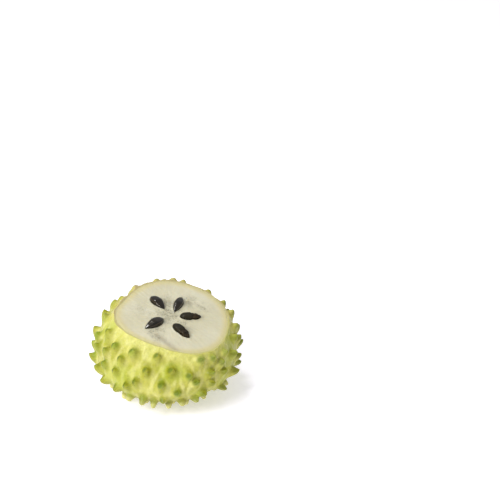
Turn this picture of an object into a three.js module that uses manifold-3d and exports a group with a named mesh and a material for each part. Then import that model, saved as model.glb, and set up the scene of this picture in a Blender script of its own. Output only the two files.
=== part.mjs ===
// A soursop cut open: the stem side of the fruit, sliced just above its widest ring, resting on its
// spines with the cut face up. Millimetres, +Z up, +X to the right, the viewer on the -Y side.
// The origin is on the table, under the middle of the piece.
import * as THREE from "three";
import { ConvexHull } from "three/addons/math/ConvexHull.js";
import { mergeVertices } from "three/addons/utils/BufferGeometryUtils.js";
import Module from "manifold-3d";

const wasm = await Module();
wasm.setup();

// ---- Driving dimensions ----

// The plain body is two half spheroids that share the fruit's widest ring.
const widestRadius = 52;
const upperHeight = 53.9;
const lowerDepth = 27.5;
const widestHeight = 30.2; // of the widest ring over the table
const axisX = -2.2; // where the fruit's own axis meets the table
const axisY = -0.6;

// The cut: how high over the widest ring it crosses the axis, and how it falls to the right and front.
const cutHeight = 30.8;
const cutSlopeX = -0.168;
const cutSlopeY = 0.096;

// The grown fruit isn't a true round. Towards the cut it leans to the right, and waves of two, three
// and four swells run round it, each turned its own way.
const lean = 8.4;
const longSwell = 0.0345;
const longTurn = THREE.MathUtils.degToRad(-101);
const cornerSwell = 0.041;
const cornerTurn = THREE.MathUtils.degToRad(-46.5);
const flatSwell = 0.029;
const flatTurn = THREE.MathUtils.degToRad(21);

// Peel and pulp.
const peelThickness = 1.7;
const fitGap = 0.3;

// The dimple round the stalk, and the ridges that run out of it to the first ring of spines.
const dimpleDepth = 7;
const dimpleRadius = 9;
const stemRidgeHeight = 1.4;
const stemRidgeInner = 5;
const stemRidgeOuter = 26;

// Spines placed one by one, where the front and the cut's edge have them: latitude over the widest
// ring and longitude from the right, in degrees, and share of the full size.
const placedSpines = [
  [26, -156, 0.9],
  [22, -143, 0.95],
  [24, -126, 1.15],
  [27, -105, 1],
  [29, -68, 0.75],
  [30, -56, 0.65],
  [26, -40, 0.8],
  [16, -168, 1],
  [12, -160, 1],
  [15, -149, 1.05],
  [16, -133, 1],
  [15, -110, 1.15],
  [19, -91, 1.15],
  [16, -76, 0.75],
  [15, -58, 1.1],
  [20, -47, 0.8],
  [17, -26, 1],
  [5, -177, 0.6],
  [6, -147, 0.85],
  [6, -135, 1],
  [4, -116, 0.9],
  [6, -96, 1],
  [9, -70, 0.85],
  [4, -56, 0.9],
  [10, -43, 0.8],
  [-1, -169, 1.05],
  [-2, -154, 1.05],
  [-2, -123, 1.05],
  [0, -83, 0.85],
  [-8, -62, 0.85],
  [-2, -26, 1.1],
  [-13, -147, 0.9],
  [-14, -133, 0.95],
  [-22, -110, 0.95],
  [-27, -101, 0.95],
  [-17, -93, 0.7],
  [-30, -88, 1.05],
  [-25, -77, 0.85],
  [-21, -66, 0.95],
  [-18, -39, 1],
  [29, 80, 0.7],
  [29, 89, 0.85],
  [29, 97, 0.5],
  [29, 104, 0.5],
  [30, 130, 0.6],
  [26, 148, 0.6],
  [26, 159, 0.9],
  [22, 171, 1],
  [26, -178, 0.9],
];

// The others stand in rings round the axis, wherever a placed spine leaves them room.
const spineRings = [
  { latitude: -66, count: 10, turn: 0, size: 0.6 },
  { latitude: -54.5, count: 12, turn: 6, size: 0.75 },
  { latitude: -41, count: 16, turn: -3, size: 0.9 },
  { latitude: -26, count: 19, turn: 5, size: 0.95 },
  { latitude: -8, count: 20, turn: -4, size: 1 },
  { latitude: 6, count: 20, turn: 5, size: 1 },
  { latitude: 16.5, count: 20, turn: -4, size: 0.95 },
  { latitude: 26.5, count: 20, turn: 4, size: 0.85 },
  { latitude: 44, count: 17, turn: -4, size: 0.8 },
];
const spineRoom = 10.5;
const scatterAlong = 1.8; // how far a spine strays from its ring
const scatterAround = 2.2;
const spineHeight = 5;
const heightSpread = 0.14; // by this share spines are taller and shorter
const spineRadius = 2.8;
const radiusSpread = 0.12;
const spineTail = 1.5; // how much further a spine reaches towards the stalk
const spineBluntness = 2.7; // a higher number gives a blunter tip and steeper sides
const moundHeight = 1.8;
const moundHalf = 4.4; // half width of the swelling a spine stands on
const moundTail = 8.5; // its length towards the stalk
const moundReach = 22; // past this distance a spine swells nothing
const rootLean = THREE.MathUtils.degToRad(14); // a spine leans towards the cut, more at its tip
const tipLean = THREE.MathUtils.degToRad(32);
const leanLoss = 1.6; // how fast the lean goes with the depth under the widest ring

// Where the outside has its corners: loops and a wide skirt round each spine, as shares of its
// radius; rings in the stalk's dimple, by their radius; and an even spread over the rest.
const spineLoops = [0.42, 0.78, 1.12];
const loopCount = 8; // corners in a loop, each loop turned half a step from the last
const skirtShare = 1.6;
const loopMargin = 0.35; // a loop's corners keep this much further from another spine, as a share
const spreadMargin = 0.6;
const cornerGap = 0.6; // the least distance between corners
const stemRings = [3.5, 7, 11, 15.5];
const stemPatch = 19; // radius of the underside that these rings cover
const outsideSpacing = 4.6;
const insideSpacing = 6.5;

// The seeds lie in the cut, thin end the way `points` says, in degrees from the right. Places are
// from the middle of the cut face. The smaller `blunt` is, the rounder are a seed's ends.
const seedShapes = [
  { x: -12.1, y: 14.2, length: 17, width: 8.4, points: -56, blunt: 0.7 },
  { x: 3, y: 14.1, length: 21.5, width: 6.8, points: -107, blunt: 0.95 },
  { x: 12, y: 0.5, length: 16, width: 8, points: 8, blunt: 0.5 },
  { x: 4.7, y: -18.2, length: 18.5, width: 8, points: -54, blunt: 0.6 },
  { x: -15.2, y: -12.4, length: 20, width: 8.6, points: -132, blunt: 0.8 },
];
const seedThickness = 5.6;
const seedRise = 0.5; // of a seed's middle over the cut
const seedSkew = 0.9; // under 1 it brings a seed's widest place nearer its round end
const seedTaper = 0.3; // how much narrower the thin end is
const seedSteps = 12;
const seedSides = 16;

// The dry stub of the stalk.
const stubLength = 5;
const stubRadius = 2.4;
const stubCollar = 3.6;
const collarDepth = 0.35; // as shares of the stub's length
const neckDepth = 0.5;
const stubSides = 14;

// Colours and how rough each surface is.
const peelLook = { color: 0xdde07c, roughness: 0.6 };
const pulpLook = { color: 0xe9e4d0, roughness: 0.7 };
const seedLook = { color: 0x1d1a15, roughness: 0.3 };
const stalkLook = { color: 0x6b4f2c, roughness: 0.85 };

const tiny = 1e-4; // corners closer than this are one corner

// ---- Solids from closed surfaces ----

function solidFrom(geometry) {
  const bare = new THREE.BufferGeometry();
  bare.setAttribute("position", geometry.getAttribute("position").clone());
  if (geometry.index) bare.setIndex(geometry.index.clone());
  const merged = mergeVertices(bare, tiny);
  return new wasm.Manifold(
    new wasm.Mesh({
      numProp: 3,
      vertProperties: merged.attributes.position.array,
      triVerts: new Uint32Array(merged.index.array),
    }),
  );
}

function geometryFrom(solid) {
  const mesh = solid.getMesh();
  const geometry = new THREE.BufferGeometry();
  geometry.setAttribute("position", new THREE.BufferAttribute(mesh.vertProperties, 3));
  geometry.setIndex(new THREE.BufferAttribute(mesh.triVerts, 1));
  geometry.computeVertexNormals();
  return geometry;
}

// ---- The plain body ----

function halfHeight(z) {
  return z > 0 ? upperHeight : lowerDepth;
}

function bodyPoint(longitude, latitude) {
  const ring = widestRadius * Math.cos(latitude);
  const z = halfHeight(latitude) * Math.sin(latitude);
  return new THREE.Vector3(ring * Math.cos(longitude), ring * Math.sin(longitude), z);
}

// Brings a point near the plain body back onto it, along the line to its middle.
function ontoBody(point) {
  const ring = Math.hypot(point.x, point.y) / widestRadius;
  const z = point.z / halfHeight(point.z);
  return point.clone().divideScalar(Math.hypot(ring, z));
}

// The way out of the body, the way up it towards the cut, and the way round it.
function directions(point) {
  const h = halfHeight(point.z);
  const out = new THREE.Vector3(
    point.x / widestRadius ** 2,
    point.y / widestRadius ** 2,
    point.z / h ** 2,
  ).normalize();
  const around = new THREE.Vector3(-point.y, point.x, 0);
  if (around.length() < tiny) around.set(0, 1, 0);
  around.normalize();
  const up = out.clone().cross(around);
  return { out, up, around };
}

// Gives the plain body its grown shape: swells, lean, slope of the cut, stalk dimple.
function grow(point) {
  const ring = Math.hypot(point.x, point.y);
  const longitude = Math.atan2(point.y, point.x);
  const climb = Math.max(0, (point.z + lowerDepth) / (lowerDepth + cutHeight));
  const long = longSwell * Math.cos(2 * (longitude - longTurn));
  const corners = cornerSwell * Math.cos(3 * (longitude - cornerTurn));
  const flats = flatSwell * Math.cos(4 * (longitude - flatTurn));
  const swell = 1 + climb ** 2 * (long + corners + flats);
  const x = point.x * swell + lean * climb ** 2;
  const y = point.y * swell;
  const slope = climb * (cutSlopeX * x + cutSlopeY * y);
  const dimple = point.z < 0 ? dimpleDepth * Math.exp(-((ring / dimpleRadius) ** 2)) : 0;
  return new THREE.Vector3(x + axisX, y + axisY, point.z + slope + dimple + widestHeight);
}

// ---- Spines ----

// A repeatable draw between -1 and 1.
let drawState = 20261;
function draw() {
  drawState = (drawState * 16807) % 2147483647;
  return (2 * drawState) / 2147483647 - 1;
}

const spines = [];

// Stands a spine on the body, strayed a little up and round, unless one on a ring has no room.
function stand(latitude, longitude, size, scatter) {
  const { degToRad } = THREE.MathUtils;
  const place = bodyPoint(degToRad(longitude), degToRad(latitude));
  const way = directions(place);
  place.addScaledVector(way.up, scatter * scatterAlong * draw());
  place.addScaledVector(way.around, scatter * scatterAround * draw());
  const foot = ontoBody(place);
  const height = size * spineHeight * (1 + heightSpread * draw());
  const radius = Math.sqrt(size) * spineRadius * (1 + radiusSpread * draw());
  const placed = spines.slice(0, placedSpines.length);
  const crowded = placed.some((s) => s.foot.distanceTo(foot) < spineRoom);
  if (scatter > 0 && crowded) return;
  spines.push({ foot, height, radius, ...directions(foot) });
}

for (const [latitude, longitude, size] of placedSpines) stand(latitude, longitude, size, 0);
for (const { latitude, count, turn, size } of spineRings) {
  for (let i = 0; i < count; i += 1) stand(latitude, -90 + turn + (360 * i) / count, size, 1);
}

// The distance of a point to a spine's foot, where a way towards the stalk counts for less.
function fromFoot(spine, point) {
  const away = point.clone().sub(spine.foot);
  const up = away.dot(spine.up);
  const across = away.dot(spine.around);
  if (away.dot(spine.out) < -widestRadius / 2) return Infinity;
  return Math.hypot(across, up < 0 ? up / spineTail : up);
}

// How far the skin at a point swells towards the nearest spine, and how it is drawn out into that
// spine: along the spine's own lean, so that all of its sides run the same way.
function relief(point) {
  let mound = 0;
  let share = 0;
  const spine = new THREE.Vector3();
  for (const s of spines) {
    const away = point.clone().sub(s.foot);
    if (away.length() > moundReach) continue;
    const up = away.dot(s.up);
    const across = away.dot(s.around);
    const along = up < 0 ? moundTail : moundHalf;
    const rise = moundHeight * Math.exp(-((up / along) ** 2) - (across / moundHalf) ** 2);
    mound = Math.max(mound, rise);
    const reach = Math.exp(-((fromFoot(s, point) / s.radius) ** spineBluntness));
    if (reach <= share) continue;
    share = reach;
    const loss = THREE.MathUtils.clamp(1 + (leanLoss * s.foot.z) / lowerDepth, 0, 1);
    const tilt = (rootLean + (tipLean - rootLean) * reach) * loss;
    spine.copy(s.out).multiplyScalar(s.height * reach * Math.cos(tilt));
    spine.addScaledVector(s.up, s.height * reach * Math.sin(tilt));
  }
  return { mound, spine };
}

// Ridges that fan out from the stalk, one to each spine of the first ring.
function stemRidge(point) {
  const ring = Math.hypot(point.x, point.y);
  if (point.z > 0 || ring < stemRidgeInner || ring > stemRidgeOuter) return 0;
  const way = (ring - stemRidgeInner) / (stemRidgeOuter - stemRidgeInner);
  const longitude = Math.atan2(point.y, point.x) + Math.PI / 2;
  const crest = 0.5 + 0.5 * Math.cos(spineRings[0].count * longitude);
  return stemRidgeHeight * Math.sin(Math.PI * way) * crest ** 2;
}

function skinPoint(point) {
  const { out } = directions(point);
  const { mound, spine } = relief(point);
  const raised = point.clone().add(spine);
  raised.addScaledVector(out, mound + stemRidge(point));
  return grow(raised);
}

// ---- Closed surfaces round the body ----

// A loop of points on the body round a spine's foot, longer to the stalk, turned by some steps.
function loopRound(spine, radius, turn) {
  const points = [];
  for (let i = 0; i < loopCount; i += 1) {
    const angle = (2 * Math.PI * (i + turn)) / loopCount;
    const climb = Math.cos(angle) * (Math.cos(angle) < 0 ? spineTail : 1);
    const point = spine.foot.clone();
    point.addScaledVector(spine.up, radius * climb);
    point.addScaledVector(spine.around, radius * Math.sin(angle));
    points.push(ontoBody(point));
  }
  return points;
}

// Evenly spread points over the whole body, on a golden spiral.
function spreadPoints(spacing) {
  const area = 4 * Math.PI * widestRadius * 0.5 * (upperHeight + lowerDepth);
  const count = Math.round(area / spacing ** 2);
  const points = [];
  for (let i = 0; i < count; i += 1) {
    const height = 1 - (2 * (i + 0.5)) / count;
    const longitude = Math.PI * (3 - Math.sqrt(5)) * i;
    points.push(bodyPoint(longitude, Math.asin(height)));
  }
  return points;
}

// Draws a point of the body on a globe of radius 1 by the half spheroid's isometric latitude, which
// keeps a small circle a circle, so that triangles well shaped on the globe are so on the body.
function onGlobe(point) {
  const squash = halfHeight(point.z) / widestRadius;
  const spread = Math.sqrt(Math.abs(1 - squash ** 2));
  const ring = Math.hypot(point.x, point.y);
  const sine = Math.sin(Math.atan2(point.z, squash ** 2 * ring));
  const turn = squash < 1 ? -Math.atanh(spread * sine) : Math.atan(spread * sine);
  const latitude = Math.atanh(sine) + spread * turn;
  const shrink = ring > tiny ? 1 / (ring * Math.cosh(latitude)) : 0;
  return new THREE.Vector3(point.x * shrink, point.y * shrink, Math.tanh(latitude));
}

// Joins points on the body by triangles, then moves each corner by a rule.
function surfaceThrough(points, move) {
  const globe = points.map(onGlobe);
  const places = new Map(globe.map((point, i) => [point, i]));
  const index = [];
  for (const face of new ConvexHull().setFromPoints(globe).faces) {
    const { edge } = face;
    for (const corner of [edge, edge.next, edge.next.next]) {
      index.push(places.get(corner.head().point));
    }
  }
  const geometry = new THREE.BufferGeometry().setFromPoints(points.map(move));
  geometry.setIndex(index);
  return solidFrom(geometry);
}

// Rings of points on the underside, two for each stem ridge: one on its crest, one in the groove.
function stemPoints() {
  const points = [new THREE.Vector3(0, 0, -lowerDepth)];
  const sides = 2 * spineRings[0].count;
  for (const ring of stemRings) {
    const latitude = -Math.acos(ring / widestRadius);
    for (let i = 0; i < sides; i += 1) {
      points.push(bodyPoint(-Math.PI / 2 + (2 * Math.PI * i) / sides, latitude));
    }
  }
  return points;
}

// Whether a point is within a share of some spine's radius of its foot.
function nearSpine(point, share, except) {
  return spines.some((s) => s !== except && fromFoot(s, point) < share * s.radius);
}

function outerPoints() {
  const points = stemPoints();
  const addPoint = (point) => {
    if (!points.some((other) => other.distanceTo(point) < cornerGap)) points.push(point);
  };
  spines.forEach((s) => points.push(s.foot.clone()));
  [...spineLoops, skirtShare].forEach((share, i) => {
    for (const s of spines) {
      const loop = loopRound(s, share * s.radius, i / 2);
      const limit = Math.min(share + loopMargin, skirtShare);
      loop.filter((point) => !nearSpine(point, limit, s)).forEach(addPoint);
    }
  });
  for (const point of spreadPoints(outsideSpacing)) {
    const nearStem = point.z < 0 && Math.hypot(point.x, point.y) < stemPatch;
    if (!nearStem && !nearSpine(point, skirtShare + spreadMargin)) addPoint(point);
  }
  return points;
}

function innerSurface(depth) {
  return surfaceThrough(spreadPoints(insideSpacing), (point) => {
    const { out } = directions(point);
    return grow(point.clone().addScaledVector(out, -depth));
  });
}

// ---- The knife cut and the table ----

const cutNormal = new THREE.Vector3(-cutSlopeX, -cutSlopeY, 1).normalize();
const cutMiddle = new THREE.Vector3(
  axisX + lean,
  axisY,
  widestHeight + cutHeight + cutSlopeX * lean,
);
const cutTurn = new THREE.Quaternion().setFromUnitVectors(new THREE.Vector3(0, 0, 1), cutNormal);
const waste = 300; // size of the blocks that are cut away

function aboveCut() {
  const block = new THREE.BoxGeometry(waste, waste, waste);
  block.translate(0, 0, waste / 2);
  block.applyQuaternion(cutTurn);
  block.translate(cutMiddle.x, cutMiddle.y, cutMiddle.z);
  return solidFrom(block);
}

function belowTable() {
  const block = new THREE.BoxGeometry(waste, waste, waste);
  block.translate(0, 0, -waste / 2);
  return solidFrom(block);
}

// ---- Seeds ----

// Half width of a seed along its length, from its round end at 0 to its thin end at 1.
function seedProfile(t, blunt) {
  return Math.sin(Math.PI * t ** seedSkew) ** blunt * (1 - seedTaper * t);
}

// Directions in the plane of the cut: rightwards and backwards.
const cutRight = new THREE.Vector3(1, 0, 0).projectOnPlane(cutNormal).normalize();
const cutBack = cutNormal.clone().cross(cutRight);

function seedGeometry(seed, slack) {
  const profile = [];
  for (let i = 0; i <= seedSteps; i += 1) {
    const t = (1 - Math.cos((Math.PI * i) / seedSteps)) / 2;
    const ends = i === 0 || i === seedSteps;
    profile.push(new THREE.Vector2(ends ? 0 : seedProfile(t, seed.blunt), t - 0.5));
  }
  const widest = Math.max(...profile.map((p) => p.x));
  const geometry = new THREE.LatheGeometry(profile, seedSides);
  const across = (seed.width / 2 + slack) / widest;
  const thick = (seedThickness / 2 + slack) / widest;
  geometry.scale(across, seed.length + 2 * slack, thick);
  const angle = THREE.MathUtils.degToRad(seed.points);
  const along = cutRight.clone().multiplyScalar(Math.cos(angle));
  along.addScaledVector(cutBack, Math.sin(angle));
  const side = along.clone().cross(cutNormal);
  const middle = cutMiddle.clone().addScaledVector(cutRight, seed.x).addScaledVector(cutBack, seed.y);
  middle.addScaledVector(cutNormal, seedRise);
  const place = new THREE.Matrix4().makeBasis(side, along, cutNormal).setPosition(middle);
  return geometry.applyMatrix4(place);
}

// ---- Stalk stub ----

// Height over the table of the dimple's skin, at a distance from the axis.
function dimpleSkin(ring) {
  return skinPoint(bodyPoint(0, -Math.acos(ring / widestRadius))).z;
}

function stubGeometry() {
  const profile = [];
  for (const ring of [0, stubCollar / 2, stubCollar]) {
    profile.push(new THREE.Vector2(ring, dimpleSkin(ring) - fitGap));
  }
  const top = profile[0].y;
  profile.push(new THREE.Vector2(stubCollar, top - collarDepth * stubLength));
  profile.push(new THREE.Vector2(stubRadius, top - neckDepth * stubLength));
  profile.push(new THREE.Vector2(stubRadius, top - stubLength));
  profile.push(new THREE.Vector2(0, top - stubLength));
  const foot = grow(new THREE.Vector3(0, 0, -lowerDepth));
  const stub = new THREE.LatheGeometry(profile.reverse(), stubSides);
  return stub.rotateX(Math.PI / 2).translate(foot.x, foot.y, 0);
}

// ---- The parts ----

function part(name, solid, look) {
  const material = new THREE.MeshStandardMaterial({ ...look, metalness: 0 });
  const mesh = new THREE.Mesh(geometryFrom(solid), material);
  mesh.name = name;
  return mesh;
}

function makeSkin() {
  const outside = surfaceThrough(outerPoints(), skinPoint);
  const shell = outside.subtract(innerSurface(peelThickness));
  return shell.subtract(aboveCut()).subtract(belowTable());
}

function makeFlesh() {
  let flesh = innerSurface(peelThickness + fitGap).subtract(aboveCut());
  for (const seed of seedShapes) {
    flesh = flesh.subtract(solidFrom(seedGeometry(seed, fitGap)));
  }
  return flesh;
}

const soursop = new THREE.Group();
soursop.add(part("skin", makeSkin(), peelLook));
soursop.add(part("flesh", makeFlesh(), pulpLook));
seedShapes.forEach((seed, i) => {
  soursop.add(part(`seed_${i + 1}`, solidFrom(seedGeometry(seed, 0)), seedLook));
});
soursop.add(part("stem", solidFrom(stubGeometry()), stalkLook));

export default soursop;
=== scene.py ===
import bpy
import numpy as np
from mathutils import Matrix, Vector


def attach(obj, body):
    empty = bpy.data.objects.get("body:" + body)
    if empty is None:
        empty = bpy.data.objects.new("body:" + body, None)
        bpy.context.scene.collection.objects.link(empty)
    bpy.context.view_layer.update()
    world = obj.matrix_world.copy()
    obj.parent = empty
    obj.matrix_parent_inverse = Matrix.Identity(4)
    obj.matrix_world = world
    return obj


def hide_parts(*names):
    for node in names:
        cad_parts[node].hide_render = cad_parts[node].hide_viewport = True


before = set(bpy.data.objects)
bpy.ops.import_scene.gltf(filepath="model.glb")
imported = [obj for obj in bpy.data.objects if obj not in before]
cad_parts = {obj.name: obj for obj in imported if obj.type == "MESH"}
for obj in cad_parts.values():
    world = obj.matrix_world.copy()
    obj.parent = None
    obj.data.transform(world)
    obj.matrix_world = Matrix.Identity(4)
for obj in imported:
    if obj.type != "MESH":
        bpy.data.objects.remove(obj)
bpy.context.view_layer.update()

# A soursop cut open: the stem side of the fruit, sliced just above its widest ring, resting on its
# spines with the cut face up. Shapes are worked out in millimetres, +Z up, with the origin on the
# table under the middle of the piece, and go into the meshes in metres.


# ---- Peel ----
# The waxy rind of the fruit, little more than a millimetre thick, grown in one piece with its soft
# spines. They stand in loose rings round the stalk and lean towards the cut. The knife went through
# the rind and some of the spines, and the lowest tips give way where they meet the table.

# The plain body is two half spheroids about an axis that stands a little off the origin
WIDEST_RADIUS = 52.0
UPPER_HEIGHT = 53.9
LOWER_DEPTH = 27.5
WIDEST_LEVEL = 30.2
AXIS = np.array([-2.2, -0.6])

# The cut's level over the widest ring, its rise to the right and to the back, and what is grown
CUT_LEVEL = 30.8
CUT_SLOPE = np.array([-0.168, 0.096])
LEAN = 8.4
LONG_SWELL, LONG_TURN = 0.0345, np.radians(-101)
CORNER_SWELL, CORNER_TURN = 0.041, np.radians(-46.5)
FLAT_SWELL, FLAT_TURN = 0.029, np.radians(21)
PEEL_THICKNESS = 1.1
DIMPLE_DEPTH, DIMPLE_RADIUS = 7.0, 9.0

PLACED_SPINES = [
    # latitude and longitude in degrees, and share of the full size
    (26, -156, 0.9), (22, -143, 0.95), (24, -126, 1.15), (27, -105, 1.0), (29, -68, 0.75),
    (28, -56, 0.6), (26, -40, 0.8), (16, -168, 1.0), (12, -160, 1.0), (15, -149, 1.05),
    (16, -133, 1.0), (15, -110, 1.15), (19, -91, 1.15), (16, -76, 0.75), (15, -58, 1.1),
    (20, -47, 0.8), (17, -26, 1.0), (5, -177, 0.6), (6, -147, 0.85), (6, -135, 1.0),
    (4, -116, 0.9), (6, -96, 1.0), (9, -70, 0.85), (4, -56, 0.9), (10, -43, 0.8),
    (-1, -169, 1.05), (-2, -154, 1.05), (-2, -123, 1.05), (0, -83, 0.85), (-8, -62, 0.85),
    (-2, -26, 1.1), (-13, -147, 0.9), (-14, -133, 0.95), (-22, -110, 0.95), (-27, -101, 0.95),
    (-17, -93, 0.7), (-30, -88, 1.05), (-25, -77, 0.85), (-21, -66, 0.95), (-18, -39, 1.0),
    (29, 80, 0.5), (29, 89, 0.6), (29, 97, 0.35), (29, 104, 0.42), (30, 130, 0.45),
    (26, 148, 0.5), (26, 159, 0.8), (22, 171, 1.0), (26, -178, 0.8),
]
SPINE_RINGS = [
    # latitude, spines in the ring, turn of the ring, share of the full size
    (-66.0, 10, 0.0, 0.6),
    (-54.5, 12, 6.0, 0.75),
    (-41.0, 16, -3.0, 0.9),
    (-26.0, 19, 5.0, 0.95),
    (-8.0, 20, -4.0, 1.0),
    (6.0, 20, 5.0, 1.0),
    (16.5, 20, -4.0, 0.95),
    (26.5, 20, 4.0, 0.85),
    (44.0, 17, -4.0, 0.8),
]
SPINE_ROOM = 10.5
SCATTER_ALONG, SCATTER_AROUND = 1.8, 2.2
SPINE_HEIGHT, HEIGHT_SPREAD = 5.0, 0.14
SPINE_RADIUS, RADIUS_SPREAD = 2.8, 0.12
SPINE_BLUNTNESS, SPINE_TAIL, BACK_SPREAD = 3.0, 1.5, 0.55
PEG_SLIMNESS, PEG_BLUNTNESS, PEG_MOUND_LOSS = 0.1, 1.2, 0.45  # a peg is a spine low down
MOUND_HEIGHT, MOUND_HALF, MOUND_TAIL, MOUND_REACH = 1.8, 4.4, 8.5, 22.0
ROOT_LEAN, TIP_LEAN, LEAN_LOSS = np.radians(14), np.radians(33), 1.6
STEM_RIDGE, RIDGE_INNER, RIDGE_OUTER = 1.4, 5.0, 26.0
CREST_HEIGHT, CREST_WIDTH, CREST_STRETCH, CREST_SHIFT = 0.42, 2.6, 0.42, 2.0
NO_SPINE_NEAR = 30.0
SKIN_SINK = 0.1  # makes up for what the crests and the ripple add
BY_CUT_REACH, UNDER_RIM_REACH, STALK_REACH = 4, 8, 22

# The olive patch on the upper side of each spine, and the dark spot in it
PATCH_START, PATCH_SKEW, PATCH_WIDTH, PATCH_EDGE = 0.6, 0.25, 3.3, 2.4
PATCH_ABOVE, PATCH_BELOW, PATCH_STRENGTH = 4.6, 5.0, 0.85
WIDTH_SPREAD, TALLNESS_SPREAD, STRENGTH_SPREAD, SKEW_SPREAD = 0.2, 0.28, 0.25, 0.35
SPOT_LEFT, SPOT_UP, SPOT_WIDTH, SPOT_HEIGHT = 1.3, 0.4, 2.0, 2.8


def unit(vectors):
    """Each vector divided by its own length."""
    return vectors / np.linalg.norm(vectors, axis=-1, keepdims=True)


def half_height(z):
    """The half height of the spheroid above the widest ring, or of the one below it."""
    return np.where(z > 0, UPPER_HEIGHT, LOWER_DEPTH)


def body_point(longitude, latitude):
    """Two half spheroids: the radius times the cosine of the latitude, and up by the half height
    times its sine."""
    ring = WIDEST_RADIUS * np.cos(latitude)
    z = half_height(latitude) * np.sin(latitude)
    return np.stack(np.broadcast_arrays(ring * np.cos(longitude), ring * np.sin(longitude), z), -1)


def onto_body(points):
    """Points near the plain body, scaled towards its middle until they lie on it."""
    ring = np.hypot(points[..., 0], points[..., 1]) / WIDEST_RADIUS
    z = points[..., 2] / half_height(points[..., 2])
    return points / np.hypot(ring, z)[..., None]


def ways(points):
    """Out of the body (its gradient), up it towards the cut, and round it."""
    flat = np.full_like(points[..., 2], WIDEST_RADIUS**2)
    out = unit(points / np.stack([flat, flat, half_height(points[..., 2]) ** 2], -1))
    around = np.stack([-points[..., 1], points[..., 0], 0 * flat], -1)
    around[np.linalg.norm(around, axis=-1) < 1e-4] = (0, 1, 0)
    around = unit(around)
    return out, np.cross(out, around), around


def grow(points):
    """The plain body's grown shape: waves of two, three and four swells round the axis, a lean and
    the slope of the cut, all stronger with the climb to the cut, and a bell-shaped stalk dimple."""
    x, y, z = np.moveaxis(points, -1, 0)
    longitude = np.arctan2(y, x)
    climb = np.maximum(0, (z + LOWER_DEPTH) / (LOWER_DEPTH + CUT_LEVEL))
    long_way = LONG_SWELL * np.cos(2 * (longitude - LONG_TURN))
    corners = CORNER_SWELL * np.cos(3 * (longitude - CORNER_TURN))
    flats = FLAT_SWELL * np.cos(4 * (longitude - FLAT_TURN))
    swell = 1 + climb**2 * (long_way + corners + flats)
    new_x = x * swell + LEAN * climb**2
    new_y = y * swell
    slope = climb * (CUT_SLOPE[0] * new_x + CUT_SLOPE[1] * new_y)
    dimple = np.where(z < 0, DIMPLE_DEPTH * np.exp(-(x**2 + y**2) / DIMPLE_RADIUS**2), 0)
    return np.stack([new_x + AXIS[0], new_y + AXIS[1], z + slope + dimple + WIDEST_LEVEL], -1)


DRAW_STEP, DRAW_CYCLE = 16807, 2147483647
draw_state = 20261


def draw():
    """A repeatable draw between -1 and 1."""
    global draw_state
    draw_state = draw_state * DRAW_STEP % DRAW_CYCLE
    return 2 * draw_state / DRAW_CYCLE - 1


spines = []


def stand(latitude, longitude, size, scatter):
    """Stands a spine on the body, strayed a little up and round. One on a ring gives way where it
    has no room by a placed one."""
    foot = body_point(np.radians(longitude), np.radians(latitude))
    _, up, around = ways(foot)
    foot = foot + scatter * SCATTER_ALONG * draw() * up
    foot = onto_body(foot + scatter * SCATTER_AROUND * draw() * around)
    height = size * SPINE_HEIGHT * (1 + HEIGHT_SPREAD * draw())
    radius = size**0.25 * SPINE_RADIUS * (1 + RADIUS_SPREAD * draw())
    radius *= 1 + BACK_SPREAD * max(0, foot[1]) / WIDEST_RADIUS
    placed = spines[: len(PLACED_SPINES)]
    crowded = any(np.linalg.norm(foot - other[0]) < SPINE_ROOM for other in placed)
    if scatter == 0 or not crowded:
        spines.append((foot, ways(foot), height, radius))


for latitude, longitude, size in PLACED_SPINES:
    stand(latitude, longitude, size, 0)
for latitude, count, turn, size in SPINE_RINGS:
    for i in range(count):
        stand(latitude, -90 + turn + 360 * i / count, size, 1)
# How the patch on each spine differs in width, height, strength and skew
patch_changes = np.random.default_rng(12).uniform(-1, 1, (len(spines), 4))


def bell(distance, half, power=2):
    """One at no distance, falling off as e to minus the share of `half`, to a power."""
    return np.exp(-((distance / half) ** power))


def ripple(points, size, amount, seed, waves=24):
    """Smooth unevenness: the mean of plane waves that run every way, about `size` long."""
    chance = np.random.default_rng(seed)
    total = np.zeros(points.shape[:-1])
    for _ in range(waves):
        way = unit(chance.normal(size=3)) * 2 * np.pi / (size * chance.uniform(0.7, 1.6))
        total += np.cos(points @ way + chance.uniform(0, 2 * np.pi))
    return amount * total / np.sqrt(waves)


def draw_together(points, reach=6.0, power=1.4):
    """Moves points round each spine in towards its foot, which puts more of them on its sides: a
    distance under `reach` becomes reach times its share of reach, to a power."""
    for foot, _, _, _ in spines:
        away = points - foot
        distance = np.linalg.norm(away, axis=-1)
        near = (distance < reach) & (distance > 1e-6)
        shrink = (distance[near] / reach) ** (power - 1)
        points[near] = foot + away[near] * shrink[:, None]
    return onto_body(points)


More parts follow.
